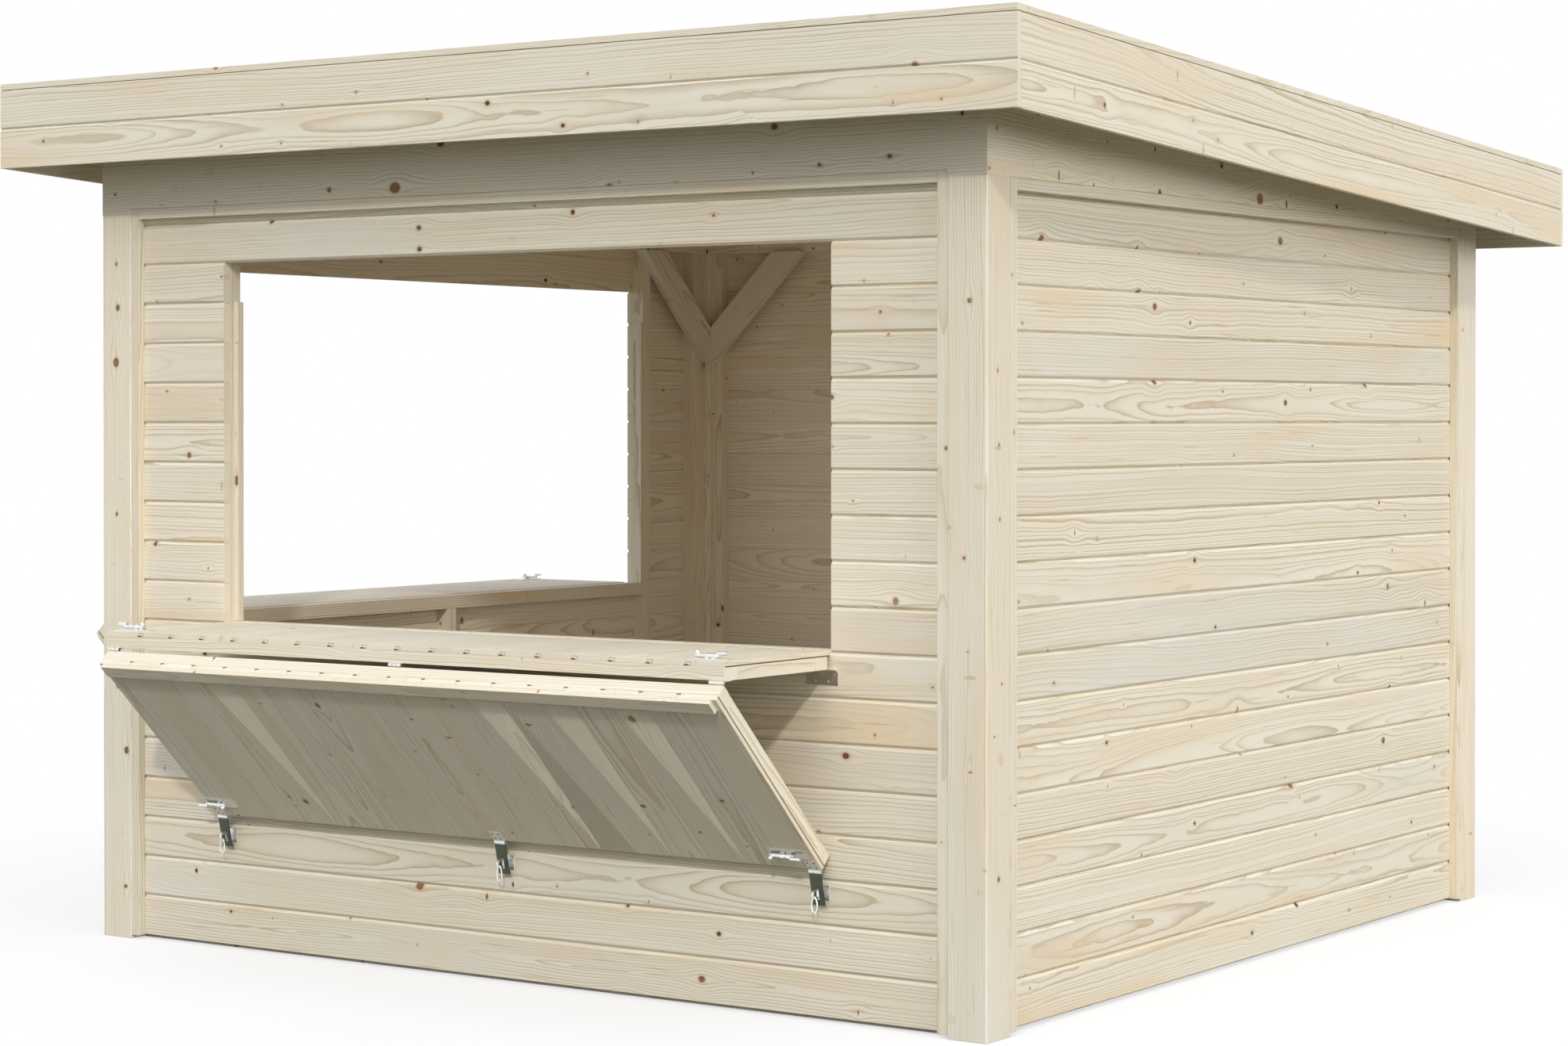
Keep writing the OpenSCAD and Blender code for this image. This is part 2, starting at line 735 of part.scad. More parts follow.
site() wall_lower(shed_w);  // front_wall_lower
site() wall_start(open_x_front);  // front_wall_left
site() wall_rest(shed_w, open_x_front);  // front_wall_right
site() wall_head(shed_w);  // front_wall_head
site() left_side() wall_lower(shed_d);  // left_wall_lower
site() left_side() wall_start(open_x_left);  // left_wall_back
site() left_side() wall_rest(shed_d, open_x_left);  // left_wall_front
site() left_side() wall_head(shed_d);  // left_wall_head
site() right_side() wall_whole(shed_d);  // right_wall
site() back_side() wall_whole(shed_w);  // back_wall

site() front_side() open_frame(shed_w, stud_s, open_x_front);  // front_frame
site() left_side() open_frame(shed_d, end_stud_w, open_x_left);  // left_frame
site() right_side() whole_frame(shed_d, end_stud_w);  // right_frame
site() back_side() whole_frame(shed_w, stud_s);  // back_frame

site() cover_strips();
site() corner_braces();

site() rafters();
site() roof_deck();
site() fascia_front();
site() fascia_back();
site() fascia_sloped();  // fascia_left
site()  // fascia_right
    translate([shed_w, 0, 0]) mirror([1, 0, 0]) fascia_sloped();
site() roof_edge_strips();

front_hatch() counter_boards();  // front_counter_boards
front_hatch() counter_frame();  // front_counter_frame
front_hatch() counter_fittings();  // front_counter_fittings
front_hatch() flap_boards();  // front_flap_boards
front_hatch() flap_frame();  // front_flap_frame
front_hatch() flap_lath();  // front_flap_lath
front_hatch() flap_fittings();  // front_flap_fittings
left_hatch() counter_boards();  // left_counter_boards
left_hatch() counter_frame();  // left_counter_frame
left_hatch() counter_fittings();  // left_counter_fittings
left_hatch() flap_boards();  // left_flap_boards
left_hatch() flap_frame();  // left_flap_frame
left_hatch() flap_lath();  // left_flap_lath
left_hatch() flap_fittings();  // left_flap_fittings
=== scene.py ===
"""Looks for the wooden garden pavilion: spruce boards, zinc fittings, studio light and the camera.
Metres, +Z up, the front towards -Y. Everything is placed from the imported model's own boxes."""

import math
from types import SimpleNamespace

import bmesh
import bpy
from mathutils import Matrix, Vector


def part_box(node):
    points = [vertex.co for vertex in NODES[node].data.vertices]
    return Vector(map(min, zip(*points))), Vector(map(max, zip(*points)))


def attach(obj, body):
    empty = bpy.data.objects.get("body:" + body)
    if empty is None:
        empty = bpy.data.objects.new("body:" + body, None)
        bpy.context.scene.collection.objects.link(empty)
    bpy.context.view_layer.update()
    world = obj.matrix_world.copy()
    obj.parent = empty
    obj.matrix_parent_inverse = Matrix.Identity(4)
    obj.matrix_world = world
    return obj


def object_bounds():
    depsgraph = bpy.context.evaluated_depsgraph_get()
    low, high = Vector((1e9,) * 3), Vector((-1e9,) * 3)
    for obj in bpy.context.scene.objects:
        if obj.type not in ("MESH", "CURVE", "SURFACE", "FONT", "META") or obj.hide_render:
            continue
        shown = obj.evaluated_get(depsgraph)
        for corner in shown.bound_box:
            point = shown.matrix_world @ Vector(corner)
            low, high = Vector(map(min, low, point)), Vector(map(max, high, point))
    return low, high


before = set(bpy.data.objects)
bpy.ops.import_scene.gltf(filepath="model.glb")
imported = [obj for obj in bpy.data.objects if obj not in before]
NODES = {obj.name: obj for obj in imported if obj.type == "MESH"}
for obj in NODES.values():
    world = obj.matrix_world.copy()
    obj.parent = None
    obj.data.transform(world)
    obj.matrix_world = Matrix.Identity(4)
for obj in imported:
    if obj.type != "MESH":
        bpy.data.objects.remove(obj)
cad_box = [list(corner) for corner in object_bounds()]

# ---------------------------------------------------------------- node trees


class Net:
    """Builds a node tree with one call for each node."""

    def __init__(self, tree):
        self.tree = tree

    def add(self, kind, *values, out=0, named=None, **settings):
        node = self.tree.nodes.new(kind)
        for key, value in settings.items():
            setattr(node, key, value)
        for key, value in list(enumerate(values)) + list((named or {}).items()):
            if value is None:
                continue
            if isinstance(value, bpy.types.NodeSocket):
                self.tree.links.new(value, node.inputs[key])
            else:
                node.inputs[key].default_value = value
        return node.outputs[out]

    def math(self, operation, a, b=None, c=None):
        return self.add("ShaderNodeMath", a, b, c, operation=operation)

    def vec(self, operation, a, b=None):
        return self.add("ShaderNodeVectorMath", a, b, operation=operation)

    def xyz(self, vector):
        node = self.tree.nodes.new("ShaderNodeSeparateXYZ")
        self.tree.links.new(vector, node.inputs[0])
        return node.outputs

    def join(self, x, y, z):
        return self.add("ShaderNodeCombineXYZ", x, y, z)

    def ramp(self, value, low, high, to_low=0.0, to_high=1.0, smooth=True):
        kind = "SMOOTHSTEP" if smooth else "LINEAR"
        return self.add(
            "ShaderNodeMapRange", value, low, high, to_low, to_high, interpolation_type=kind
        )

    def mix(self, factor, a, b):
        return self.add("ShaderNodeMix", out=2, named={0: factor, 6: a, 7: b}, data_type="RGBA")

    def noise(self, vector, scale=1.0, detail=2.0, rough=0.5, out=0):
        return self.add(
            "ShaderNodeTexNoise",
            out=out,
            named={"Vector": vector, "Scale": scale, "Detail": detail, "Roughness": rough},
        )

    def cells(self, vector, out, dims="2D"):
        """out 0 is the distance to the nearest cell point, 1 its random colour, 2 its place."""
        return self.add(
            "ShaderNodeTexVoronoi",
            out=out,
            named={"Vector": vector, "Scale": 1.0},
            voronoi_dimensions=dims,
        )


def rgb(red, green, blue):
    """A colour written as 0..255 sRGB, as the linear colour a node takes."""

    def linear(v):
        v /= 255
        return v / 12.92 if v <= 0.04045 else ((v + 0.055) / 1.055) ** 2.4

    return (linear(red), linear(green), linear(blue), 1.0)


# ---------------------------------------------------------------- grain space
# Each solid of a node is a bar or a field of boards. A modifier stores where every point lies
# in it: gp is (along the grain, across it, through it), gi is (random number, board width, total
# width), ge is 1 on end grain and gs is 1 on the sides of a bar.

WELD_REACH = 0.00001
ROUND_EDGE = 0.0009


def permuted(n, vector, size):
    """The vector's numbers in the order longest, middle, shortest of the size."""
    x, y, z = n.xyz(vector)
    sx, sy, sz = n.xyz(size)

    def pick(test_a, test_b, yes, no):
        test = n.add("FunctionNodeCompare", test_a, test_b, data_type="FLOAT", operation="GREATER_EQUAL")
        return n.add("GeometryNodeSwitch", test, no, yes, input_type="VECTOR")

    along_x = pick(sy, sz, n.join(x, y, z), n.join(x, z, y))
    along_y = pick(sx, sz, n.join(y, x, z), n.join(y, z, x))
    along_z = pick(sx, sy, n.join(z, x, y), n.join(z, y, x))
    rest = pick(sy, sz, along_y, along_z)
    longest_other = n.math("MAXIMUM", sy, sz)
    return pick(sx, longest_other, along_x, rest)


def bounds_of(n, place, island):
    """Lowest and highest place of the solid that a point belongs to."""
    node = n.tree.nodes.new("GeometryNodeFieldMinAndMax")
    node.data_type = "FLOAT_VECTOR"
    n.tree.links.new(place, node.inputs["Value"])
    n.tree.links.new(island, node.inputs["Group ID"])
    return node.outputs["Min"], node.outputs["Max"]


def brace_place(n, place, island):
    """The place turned by 45 degrees in the plane of the brace that a point belongs to."""
    x, y, z = n.xyz(place)
    low, high = bounds_of(n, place, island)
    size_x, size_y, _ = n.xyz(n.vec("SUBTRACT", high, low))
    wide = n.add("FunctionNodeCompare", size_x, size_y, data_type="FLOAT", operation="GREATER_THAN")
    side = n.add("GeometryNodeSwitch", wide, y, x, input_type="FLOAT")
    depth = n.add("GeometryNodeSwitch", wide, x, y, input_type="FLOAT")
    out = n.math("ABSOLUTE", side)
    diagonal = math.sqrt(0.5)
    rise = n.math("MULTIPLY", n.math("SUBTRACT", z, out), diagonal)
    over = n.math("MULTIPLY", n.math("ADD", z, out), diagonal)
    return n.join(rise, over, depth)


def grain_group(name, turn=(0, 0, 0), order=None, width=None, brace=False):
    """A geometry node group that stores gp, gi, ge and gs. order is the grain, cross and depth
    axis as digits; without it each solid is measured. width is the board width in a field."""
    group = bpy.data.node_groups.new(name, "GeometryNodeTree")
    group.interface.new_socket("Geometry", in_out="INPUT", socket_type="NodeSocketGeometry")
    group.interface.new_socket("Seed", in_out="INPUT", socket_type="NodeSocketInt")
    group.interface.new_socket("Geometry", in_out="OUTPUT", socket_type="NodeSocketGeometry")
    n = Net(group)
    start = group.nodes.new("NodeGroupInput")
    place = n.add("GeometryNodeInputPosition")
    normal = n.add("GeometryNodeInputNormal")
    island = n.add("GeometryNodeInputMeshIsland")
    if brace:
        place = brace_place(n, place, island)
    elif any(turn):
        place, normal = [
            n.add(
                "ShaderNodeVectorRotate",
                named={"Vector": vector, "Rotation": turn},
                rotation_type="EULER_XYZ",
            )
            for vector in (place, normal)
        ]
    low, high = bounds_of(n, place, island)
    size = n.vec("SUBTRACT", high, low)
    inside = n.vec("SUBTRACT", place, low)
    if order:
        inside = n.join(*[n.xyz(inside)[int(axis)] for axis in order])
        size = n.join(*[n.xyz(size)[int(axis)] for axis in order])
        facing, sideways = n.xyz(normal)[int(order[0])], 0.0
    else:
        facing, sideways, _ = n.xyz(permuted(n, normal, size))
        sideways = n.ramp(n.math("ABSOLUTE", sideways), 0.6, 0.9)
        inside, size = permuted(n, inside, size), permuted(n, size, size)
    facing = n.ramp(n.math("ABSOLUTE", facing), 0.6, 0.9)
    if brace:
        facing = sideways = 0.0
    half = n.vec("MULTIPLY", size, (0.5, 0.0, 0.5))
    stored = n.vec("SUBTRACT", inside, half)
    across = n.xyz(size)[1]
    board, total = width, across
    if not width:
        board, total = n.math("ADD", n.math("MULTIPLY", across, 1.001), 0.001), 0.0
    chance = n.add(
        "FunctionNodeRandomValue",
        out=1,
        named={"ID": island, "Seed": start.outputs["Seed"]},
        data_type="FLOAT",
    )
    geometry = start.outputs["Geometry"]
    for attribute, value in (("gp", stored), ("gi", n.join(chance, board, total))):
        geometry = n.add(
            "GeometryNodeStoreNamedAttribute",
            named={"Geometry": geometry, "Name": attribute, "Value": value},
            data_type="FLOAT_VECTOR",
            domain="POINT",
        )
    for attribute, value in (("ge", facing), ("gs", sideways)):
        geometry = n.add(
            "GeometryNodeStoreNamedAttribute",
            named={"Geometry": geometry, "Name": attribute, "Value": value},
            data_type="FLOAT",
            domain="FACE",
        )
    end = group.nodes.new("NodeGroupOutput")
    group.links.new(geometry, end.inputs["Geometry"])
    return group


def add_grain(obj, group, seed):
    """Closes the imported mesh, rounds its edges a little and stores the grain space."""
    weld = obj.modifiers.new("close", "WELD")
    weld.merge_threshold = WELD_REACH
    bevel = obj.modifiers.new("edges", "BEVEL")
    bevel.width = ROUND_EDGE
    bevel.segments = 2
    bevel.limit_method = "ANGLE"
    bevel.angle_limit = math.radians(30)
    bevel.use_clamp_overlap = True
    grain = obj.modifiers.new("grain", "NODES")
    grain.node_group = group
    seed_socket = [s for s in group.interface.items_tree if s.name == "Seed"][0]
    grain[seed_socket.identifier] = seed


# ---------------------------------------------------------------- spruce

EARLY = rgb(236, 229, 212)
LATE = rgb(190, 168, 136)
PINK = rgb(230, 209, 176)
PALE = rgb(229, 227, 218)
KNOT = rgb(62, 40, 27)
KNOT_RING = rgb(170, 120, 78)
STREAK = rgb(198, 152, 106)


def square(n, value):
    return n.math("MULTIPLY", value, value)


def board_place(n):
    """Where a point lies in its own board (u along it, v across from the middle, w through it),
    and the board's six random numbers."""
    u, across, w = n.xyz(n.add("ShaderNodeAttribute", attribute_name="gp", out=1))
    chance, width, total = n.xyz(n.add("ShaderNodeAttribute", attribute_name="gi", out=1))
    number = n.math("FLOOR", n.math("DIVIDE", across, width))
    v = n.math("SUBTRACT", across, n.math("MULTIPLY", n.math("ADD", number, 0.5), width))

    board = n.join(n.math("MULTIPLY", chance, 91.7), number, 0.0)
    luck = n.add("ShaderNodeTexWhiteNoise", board, out=1, noise_dimensions="2D")
    other = n.vec("ADD", board, (3.3, 7.7, 0.0))
    more = n.add("ShaderNodeTexWhiteNoise", other, out=1, noise_dimensions="2D")
    shift = n.vec("MULTIPLY", luck, (50.0, 50.0, 50.0))

    # On the sides of a bar the place on the face is measured across the side.
    on_side = n.add("ShaderNodeAttribute", attribute_name="gs", out=2)
    over = n.math("ADD", v, n.math("MULTIPLY", n.math("SUBTRACT", w, v), on_side))
    face = n.join(n.math("MULTIPLY_ADD", on_side, 5.0, u), over, 0.0)

    # The dark seam between two boards of a field, away from the field's own edges.
    seam = n.math("SUBTRACT", n.math("MULTIPLY", width, 0.5), n.math("ABSOLUTE", v))
    inner = n.math(
        "MULTIPLY",
        n.math("GREATER_THAN", across, 0.003),
        n.math("LESS_THAN", across, n.math("SUBTRACT", total, 0.003)),
    )
    seam = n.math("MULTIPLY", n.ramp(seam, 0.0011, 0.0004), inner)
    return SimpleNamespace(
        u=u,
        v=v,
        w=w,
        here=n.join(u, v, w),
        face=face,
        on_side=on_side,
        shift=shift,
        luck=list(n.xyz(luck)) + list(n.xyz(more)),
        seam=seam,
    )


def spread(n, place, along, over):
    """The place in the board, scaled, and moved so that no two boards are alike."""
    return n.vec("ADD", n.vec("MULTIPLY", place.here, (along, over, over)), place.shift)


def knots(n, place, cell, scale):
    """One knot in most cells of the face, each with its own size. Most are small."""
    stretch = 1.4
    spot = n.vec("MULTIPLY", place.face, (1 / stretch, 1.0, 0.0))
    spot = n.vec("ADD", n.vec("DIVIDE", spot, n.join(cell, cell, 1.0)), place.shift)
    off_u, off_v, _ = n.xyz(n.vec("SUBTRACT", spot, n.cells(spot, 2)))
    off_u = n.math("MULTIPLY", off_u, n.math("MULTIPLY", cell, stretch))
    off_v = n.math("MULTIPLY", off_v, cell)
    big, wanted, narrow = n.xyz(n.cells(spot, 1))
    size = n.math("MULTIPLY_ADD", n.math("POWER", big, 3.5), 0.0088, 0.0030)
    size = n.math("MULTIPLY", size, scale)
    there = n.math("GREATER_THAN", wanted, n.math("MULTIPLY_ADD", place.luck[5], 0.66, 0.04))
    squash = n.math("MULTIPLY_ADD", n.math("POWER", narrow, 4.0), 2.4, 0.8)
    away = n.math("ADD", square(n, n.math("MULTIPLY", off_u, squash)), square(n, off_v))
    ragged = n.noise(n.vec("MULTIPLY", place.face, (260.0, 260.0, 0.0)), detail=2.0)
    away = n.math("ADD", n.math("SQRT", away), n.math("MULTIPLY_ADD", ragged, 0.0024, -0.0012))

    # The fibres part and run round a knot.
    reach_u = n.math("DIVIDE", off_u, n.math("MULTIPLY", size, 6.5))
    reach_v = n.math("DIVIDE", off_v, n.math("MULTIPLY", size, 4.2))
    reach = n.math("ADD", square(n, reach_u), square(n, reach_v))
    part = n.math("MULTIPLY", n.math("EXPONENT", n.math("MULTIPLY", reach, -1.0)), there)
    part = n.math("MULTIPLY", n.math("MULTIPLY", part, off_v), 0.85)
    return SimpleNamespace(edge=n.math("SUBTRACT", away, size), there=there, big=big, part=part)


def late_wood(n, place, part, spacing, bend):
    """Darkness of the growth rings, from the distance to a pith that wanders along the board."""
    wave = n.noise(spread(n, place, 4.0, 12.0), detail=3.0, rough=0.55)
    slope = n.math("MULTIPLY", n.math("SUBTRACT", place.luck[2], 0.5), 0.03)
    side = n.math("SUBTRACT", place.luck[0], 0.5)
    pith_v = n.math("MULTIPLY", n.math("MULTIPLY", side, n.math("ABSOLUTE", side)), 0.75)
    pith_w = n.math("MULTIPLY_ADD", place.luck[1], 0.075, 0.018)
    bend_v, bend_w, _ = bend
    on_front = n.math("SUBTRACT", 1.0, place.on_side)
    from_v = n.math("ADD", n.math("SUBTRACT", place.v, pith_v), n.math("MULTIPLY_ADD", bend_v, 0.05, -0.025))
    from_v = n.math("SUBTRACT", from_v, n.math("MULTIPLY", part, on_front))
    from_w = n.math("ADD", n.math("ADD", place.w, pith_w), n.math("MULTIPLY", place.u, slope))
    from_w = n.math("ADD", from_w, n.math("MULTIPLY_ADD", bend_w, 0.09, -0.045))
    from_w = n.math("SUBTRACT", from_w, n.math("MULTIPLY", part, place.on_side))
    radius = n.math("SQRT", n.math("ADD", square(n, from_v), square(n, from_w)))
    radius = n.math("ADD", radius, n.math("MULTIPLY_ADD", wave, 0.011, -0.0055))
    uneven = n.add(
        "ShaderNodeTexNoise",
        named={"W": n.math("ADD", radius, place.luck[3]), "Scale": 48.0, "Detail": 1.0},
        noise_dimensions="1D",
    )
    ring = n.math("FRACT", n.math("MULTIPLY_ADD", uneven, 1.6, n.math("DIVIDE", radius, spacing)))
    late = n.math("POWER", n.ramp(ring, 0.20, 0.92, smooth=False), 3.0)
    return n.math("MULTIPLY", late, n.ramp(ring, 1.0, 0.93))


def streaks(n, place, fibre):
    """Reddish streaks: long ones along the grain, short ones where a branch was cut lengthwise."""
    spot = n.vec("ADD", n.vec("MULTIPLY", place.face, (1.2, 26.0, 0.0)), place.shift)
    long_streak = n.math("MULTIPLY", n.ramp(n.cells(spot, 0), 0.11, 0.0), place.luck[3])
    spot = n.vec("ADD", n.vec("MULTIPLY", place.face, (3.2, 1.1, 0.0)), place.shift)
    spike = n.ramp(n.cells(spot, 0), 0.024, 0.012)
    spike = n.math("MULTIPLY", spike, n.math("GREATER_THAN", place.luck[5], 0.72))
    streak = n.math("MAXIMUM", n.math("MULTIPLY", long_streak, 0.6), n.math("MULTIPLY", spike, 0.75))
    return n.math("MULTIPLY", streak, n.ramp(fibre, 0.3, 0.6, 0.5, 1.0))


def spruce_group():
    """Spruce with growth rings, so that flat faces show long arches, edges show close lines and
    ends show arcs. Knots bend the rings."""
    group = bpy.data.node_groups.new("spruce", "ShaderNodeTree")
    for name in ("Ring", "Knots", "Cell", "Tone"):
        group.interface.new_socket(name, in_out="INPUT", socket_type="NodeSocketFloat")
    for name, kind in (("Color", "Color"), ("Roughness", "Float"), ("Height", "Float")):
        group.interface.new_socket(name, in_out="OUTPUT", socket_type="NodeSocket" + kind)
    n = Net(group)
    inputs = group.nodes.new("NodeGroupInput").outputs
    place = board_place(n)
    knot = knots(n, place, inputs["Cell"], inputs["Knots"])
    bend = n.xyz(n.noise(spread(n, place, 0.8, 2.2), detail=1.0, out=1))
    late = late_wood(n, place, knot.part, inputs["Ring"], bend)

    # Rings, which fade in places and on end grain.
    faint, warm, _ = n.xyz(n.noise(spread(n, place, 1.1, 9.0), detail=2.0, out=1))
    end_grain = n.add("ShaderNodeAttribute", attribute_name="ge", out=2)
    fade = n.ramp(faint, 0.32, 0.60, 0.55, 1.0)
    fade = n.math("MULTIPLY", fade, n.math("MULTIPLY_ADD", end_grain, -0.75, 1.0))
    color = n.mix(n.math("MULTIPLY", n.math("MULTIPLY", late, fade), 0.86), EARLY, LATE)

    # Tint, the board's own tone, fibres and seams.
    tint = n.math("MULTIPLY_ADD", place.luck[3], 0.75, 0.15)
    color = n.mix(n.math("MULTIPLY", n.ramp(warm, 0.44, 0.72), tint), color, PINK)
    pale = n.math("MULTIPLY", n.ramp(bend[1], 0.45, 0.7), place.luck[2])
    color = n.mix(n.math("MULTIPLY", pale, 0.6), color, PALE)
    fibre = n.noise(spread(n, place, 9.0, 420.0), detail=2.0, rough=0.6)
    tone = n.math("MULTIPLY_ADD", n.math("SUBTRACT", place.luck[4], 0.5), 0.085, 1.0)
    tone = n.math("ADD", tone, n.math("MULTIPLY_ADD", fibre, 0.09, -0.045))
    tone = n.math("SUBTRACT", tone, n.math("MULTIPLY", place.seam, 0.36))
    color = n.vec("SCALE", color)
    n.tree.links.new(n.math("MULTIPLY", tone, inputs["Tone"]), color.node.inputs["Scale"])
    color = n.mix(streaks(n, place, fibre), color, STREAK)

    # The knots' own colour: dark heart, reddish edge and a warm halo.
    halo = n.math("MULTIPLY", n.ramp(knot.edge, 0.009, -0.001), knot.there)
    body = n.math("MULTIPLY", n.ramp(knot.edge, 0.0006, -0.0010), knot.there)
    heart = n.math("MULTIPLY", n.ramp(knot.edge, -0.0006, -0.0026), knot.there)
    heart = n.math("MULTIPLY", heart, n.ramp(knot.big, 0.97, 0.80, 0.45, 1.0))
    color = n.mix(n.math("MULTIPLY", halo, 0.40), color, STREAK)
    color = n.mix(body, color, KNOT_RING)
    color = n.mix(heart, color, KNOT)

    rough = n.math("MULTIPLY_ADD", fibre, 0.22, 0.46)
    height = n.math("MULTIPLY_ADD", late, 0.5, n.math("MULTIPLY", fibre, 0.6))
    height = n.math("SUBTRACT", height, n.math("MULTIPLY", body, 0.6))
    end = group.nodes.new("NodeGroupOutput")
    for name, value in (("Color", color), ("Roughness", rough), ("Height", height)):
        group.links.new(value, end.inputs[name])
    return group


SPRUCE = spruce_group()


def wood(name, ring, knot_size=1.0, cell=0.20, tone=1.0):
    """Spruce with its ring spacing, knot size, knot spacing and lightness."""
    material = bpy.data.materials.new(name)
    material.use_nodes = True
    tree = material.node_tree
    shader = tree.nodes["Principled BSDF"]
    group = tree.nodes.new("ShaderNodeGroup")
    group.node_tree = SPRUCE
    for socket, value in (("Ring", ring), ("Knots", knot_size), ("Cell", cell), ("Tone", tone)):
        group.inputs[socket].default_value = value
    bump = tree.nodes.new("ShaderNodeBump")
    bump.inputs["Strength"].default_value = 0.5
    bump.inputs["Distance"].default_value = 0.0006
    tree.links.new(group.outputs["Height"], bump.inputs["Height"])
    tree.links.new(group.outputs["Color"], shader.inputs["Base Color"])
    tree.links.new(group.outputs["Roughness"], shader.inputs["Roughness"])
    tree.links.new(bump.outputs[0], shader.inputs["Normal"])
    shader.inputs["Specular IOR Level"].default_value = 0.3
    return material


def zinc(name, bottom, top, painted_reflection):
    """Bright zinc plating: fine spangle, faint streaks and patches. Between two heights its colour is a
    painted reflection, dark on the plates under the flap; faces that slope down get a grey painted
    reflection of the ground."""
    material = bpy.data.materials.new(name)
    material.use_nodes = True
    tree = material.node_tree
    shader = tree.nodes["Principled BSDF"]
    n = Net(tree)
    place = n.add("ShaderNodeTexCoord", out=3)
    spangle = n.cells(n.vec("MULTIPLY", place, (420.0, 420.0, 420.0)), 1, dims="3D")
    patch = n.noise(place, scale=55.0, detail=3.0)
    tone = n.mix(n.xyz(spangle)[0], rgb(234, 236, 238), rgb(250, 250, 250))
    tone = n.mix(n.ramp(patch, 0.45, 0.75, 0.0, 0.5), tone, rgb(206, 208, 210))
    height = n.xyz(place)[2]
    # Painted reflection: between bottom and top the plating is painted with the colour of what it mirrors.
    low = n.math("MULTIPLY", n.ramp(height, top, top - 0.004), n.math("GREATER_THAN", height, bottom))
    tone = n.mix(n.math("MULTIPLY", low, 0.96), tone, painted_reflection)
    # Painted reflection: faces that slope down at 45 degrees, which mirror the ground, are painted grey.
    facing = n.xyz(n.add("ShaderNodeTexCoord", out=1))[2]
    sloping = n.ramp(n.math("ABSOLUTE", n.math("ADD", facing, math.sqrt(0.5))), 0.06, 0.02)
    tone = n.mix(n.math("MULTIPLY", sloping, 0.9), tone, rgb(166, 165, 154))
    rough = n.math("MULTIPLY_ADD", patch, 0.30, 0.20)
    bump = n.add("ShaderNodeBump", named={"Strength": 0.25, "Distance": 0.0002, "Height": patch})
    tree.links.new(tone, shader.inputs["Base Color"])
    tree.links.new(rough, shader.inputs["Roughness"])
    tree.links.new(bump, shader.inputs["Normal"])
    shader.inputs["Metallic"].default_value = 1.0
    return material


# ---------------------------------------------------------------- finish of the CAD nodes


def size_of(node):
    low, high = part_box(node)
    return high - low


BOARDS_BELOW = 8
LEAF_BOARDS = 18
BOARD = size_of("front_wall_lower").z / BOARDS_BELOW
DECK_BOARD = 0.121
LEAF_BOARD = size_of("front_counter_boards").x / LEAF_BOARDS
FASCIA_BOARD = size_of("fascia_front").z / 2
SLOPE = math.atan(
    (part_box("fascia_front")[0].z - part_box("fascia_back")[0].z)
    / (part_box("fascia_front")[0].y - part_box("fascia_back")[0].y)
)
TILT = math.radians(45)

SPACES = {
    "walls_x": grain_group("walls_x", order="021", width=BOARD),
    "walls_y": grain_group("walls_y", order="120", width=BOARD),
    "deck": grain_group("deck", turn=(-SLOPE, 0, 0), order="012", width=DECK_BOARD),
    "fascia_x": grain_group("fascia_x", order="021", width=FASCIA_BOARD),
    "fascia_y": grain_group("fascia_y", turn=(-SLOPE, 0, 0), order="120", width=FASCIA_BOARD),
    "counter_x": grain_group("counter_x", order="102", width=LEAF_BOARD),
    "counter_y": grain_group("counter_y", order="012", width=LEAF_BOARD),
    "flap_x": grain_group("flap_x", turn=(TILT, 0, 0), order="102", width=LEAF_BOARD),
    "flap_y": grain_group("flap_y", turn=(0, -TILT, 0), order="012", width=LEAF_BOARD),
    "flap_bars_x": grain_group("flap_bars_x", turn=(TILT, 0, 0)),
    "flap_bars_y": grain_group("flap_bars_y", turn=(0, -TILT, 0)),
    "brace": grain_group("brace", brace=True, order="012"),
    "bars": grain_group("bars"),
}

WOODS = {
    "post_wood": wood("post_wood", ring=0.0074, knot_size=1.4, cell=0.14, tone=1.055),
    "wall_wood": wood("wall_wood", ring=0.0088),
    "frame_wood": wood("frame_wood", ring=0.0070),
    "roof_wood": wood("roof_wood", ring=0.0080),
    "trim_wood": wood("trim_wood", ring=0.0085),
    "hatch_wood": wood("hatch_wood", ring=0.0072),
}
# Painted reflections: dark green on the flap's fittings below 0.4 m, pale brown on the counter's between 0.5
# and 0.93 m.
FLAP_ZINC = zinc("flap_zinc", bottom=0.0, top=0.400, painted_reflection=rgb(60, 69, 48))
COUNTER_ZINC = zinc("counter_zinc", bottom=0.5, top=0.930, painted_reflection=rgb(222, 212, 198))


def space_for(name):
    """The grain space of a CAD node: x for pieces along the front or back, y along the sides."""
    if name.startswith("fascia"):
        return "fascia_x" if name in ("fascia_front", "fascia_back") else "fascia_y"
    axis = "y" if name.startswith(("left", "right")) else "x"
    if "_wall" in name:
        return "walls_" + axis
    if name.endswith("_counter_boards"):
        return "counter_" + axis
    if name.endswith("_flap_boards"):
        return "flap_" + axis
    if "_flap_" in name:
        return "flap_bars_" + axis
    return {"roof_deck": "deck", "corner_braces": "brace"}.get(name, "bars")


def slot_for(name):
    """The wood slot of a CAD node. Posts and beams share one."""
    if "counter_" in name or "flap_" in name:
        return "hatch_wood"
    if name.endswith("_frame") or name == "corner_braces":
        return "frame_wood"
    if name.startswith("fascia") or name in ("cover_strips", "roof_edge_strips"):
        return "trim_wood"
    if name in ("rafters", "roof_deck"):
        return "roof_wood"
    if "wall" in name:
        return "wall_wood"
    return "post_wood"


for number, (name, obj) in enumerate(sorted(NODES.items())):
    obj.data.materials.clear()
    if name.endswith("_fittings"):
        obj.data.materials.append(FLAP_ZINC if "flap" in name else COUNTER_ZINC)
        continue
    obj.data.materials.append(WOODS[slot_for(name)])
    add_grain(obj, SPACES[space_for(name)], number + 1)

# ---------------------------------------------------------------- small pieces

MM = 0.001


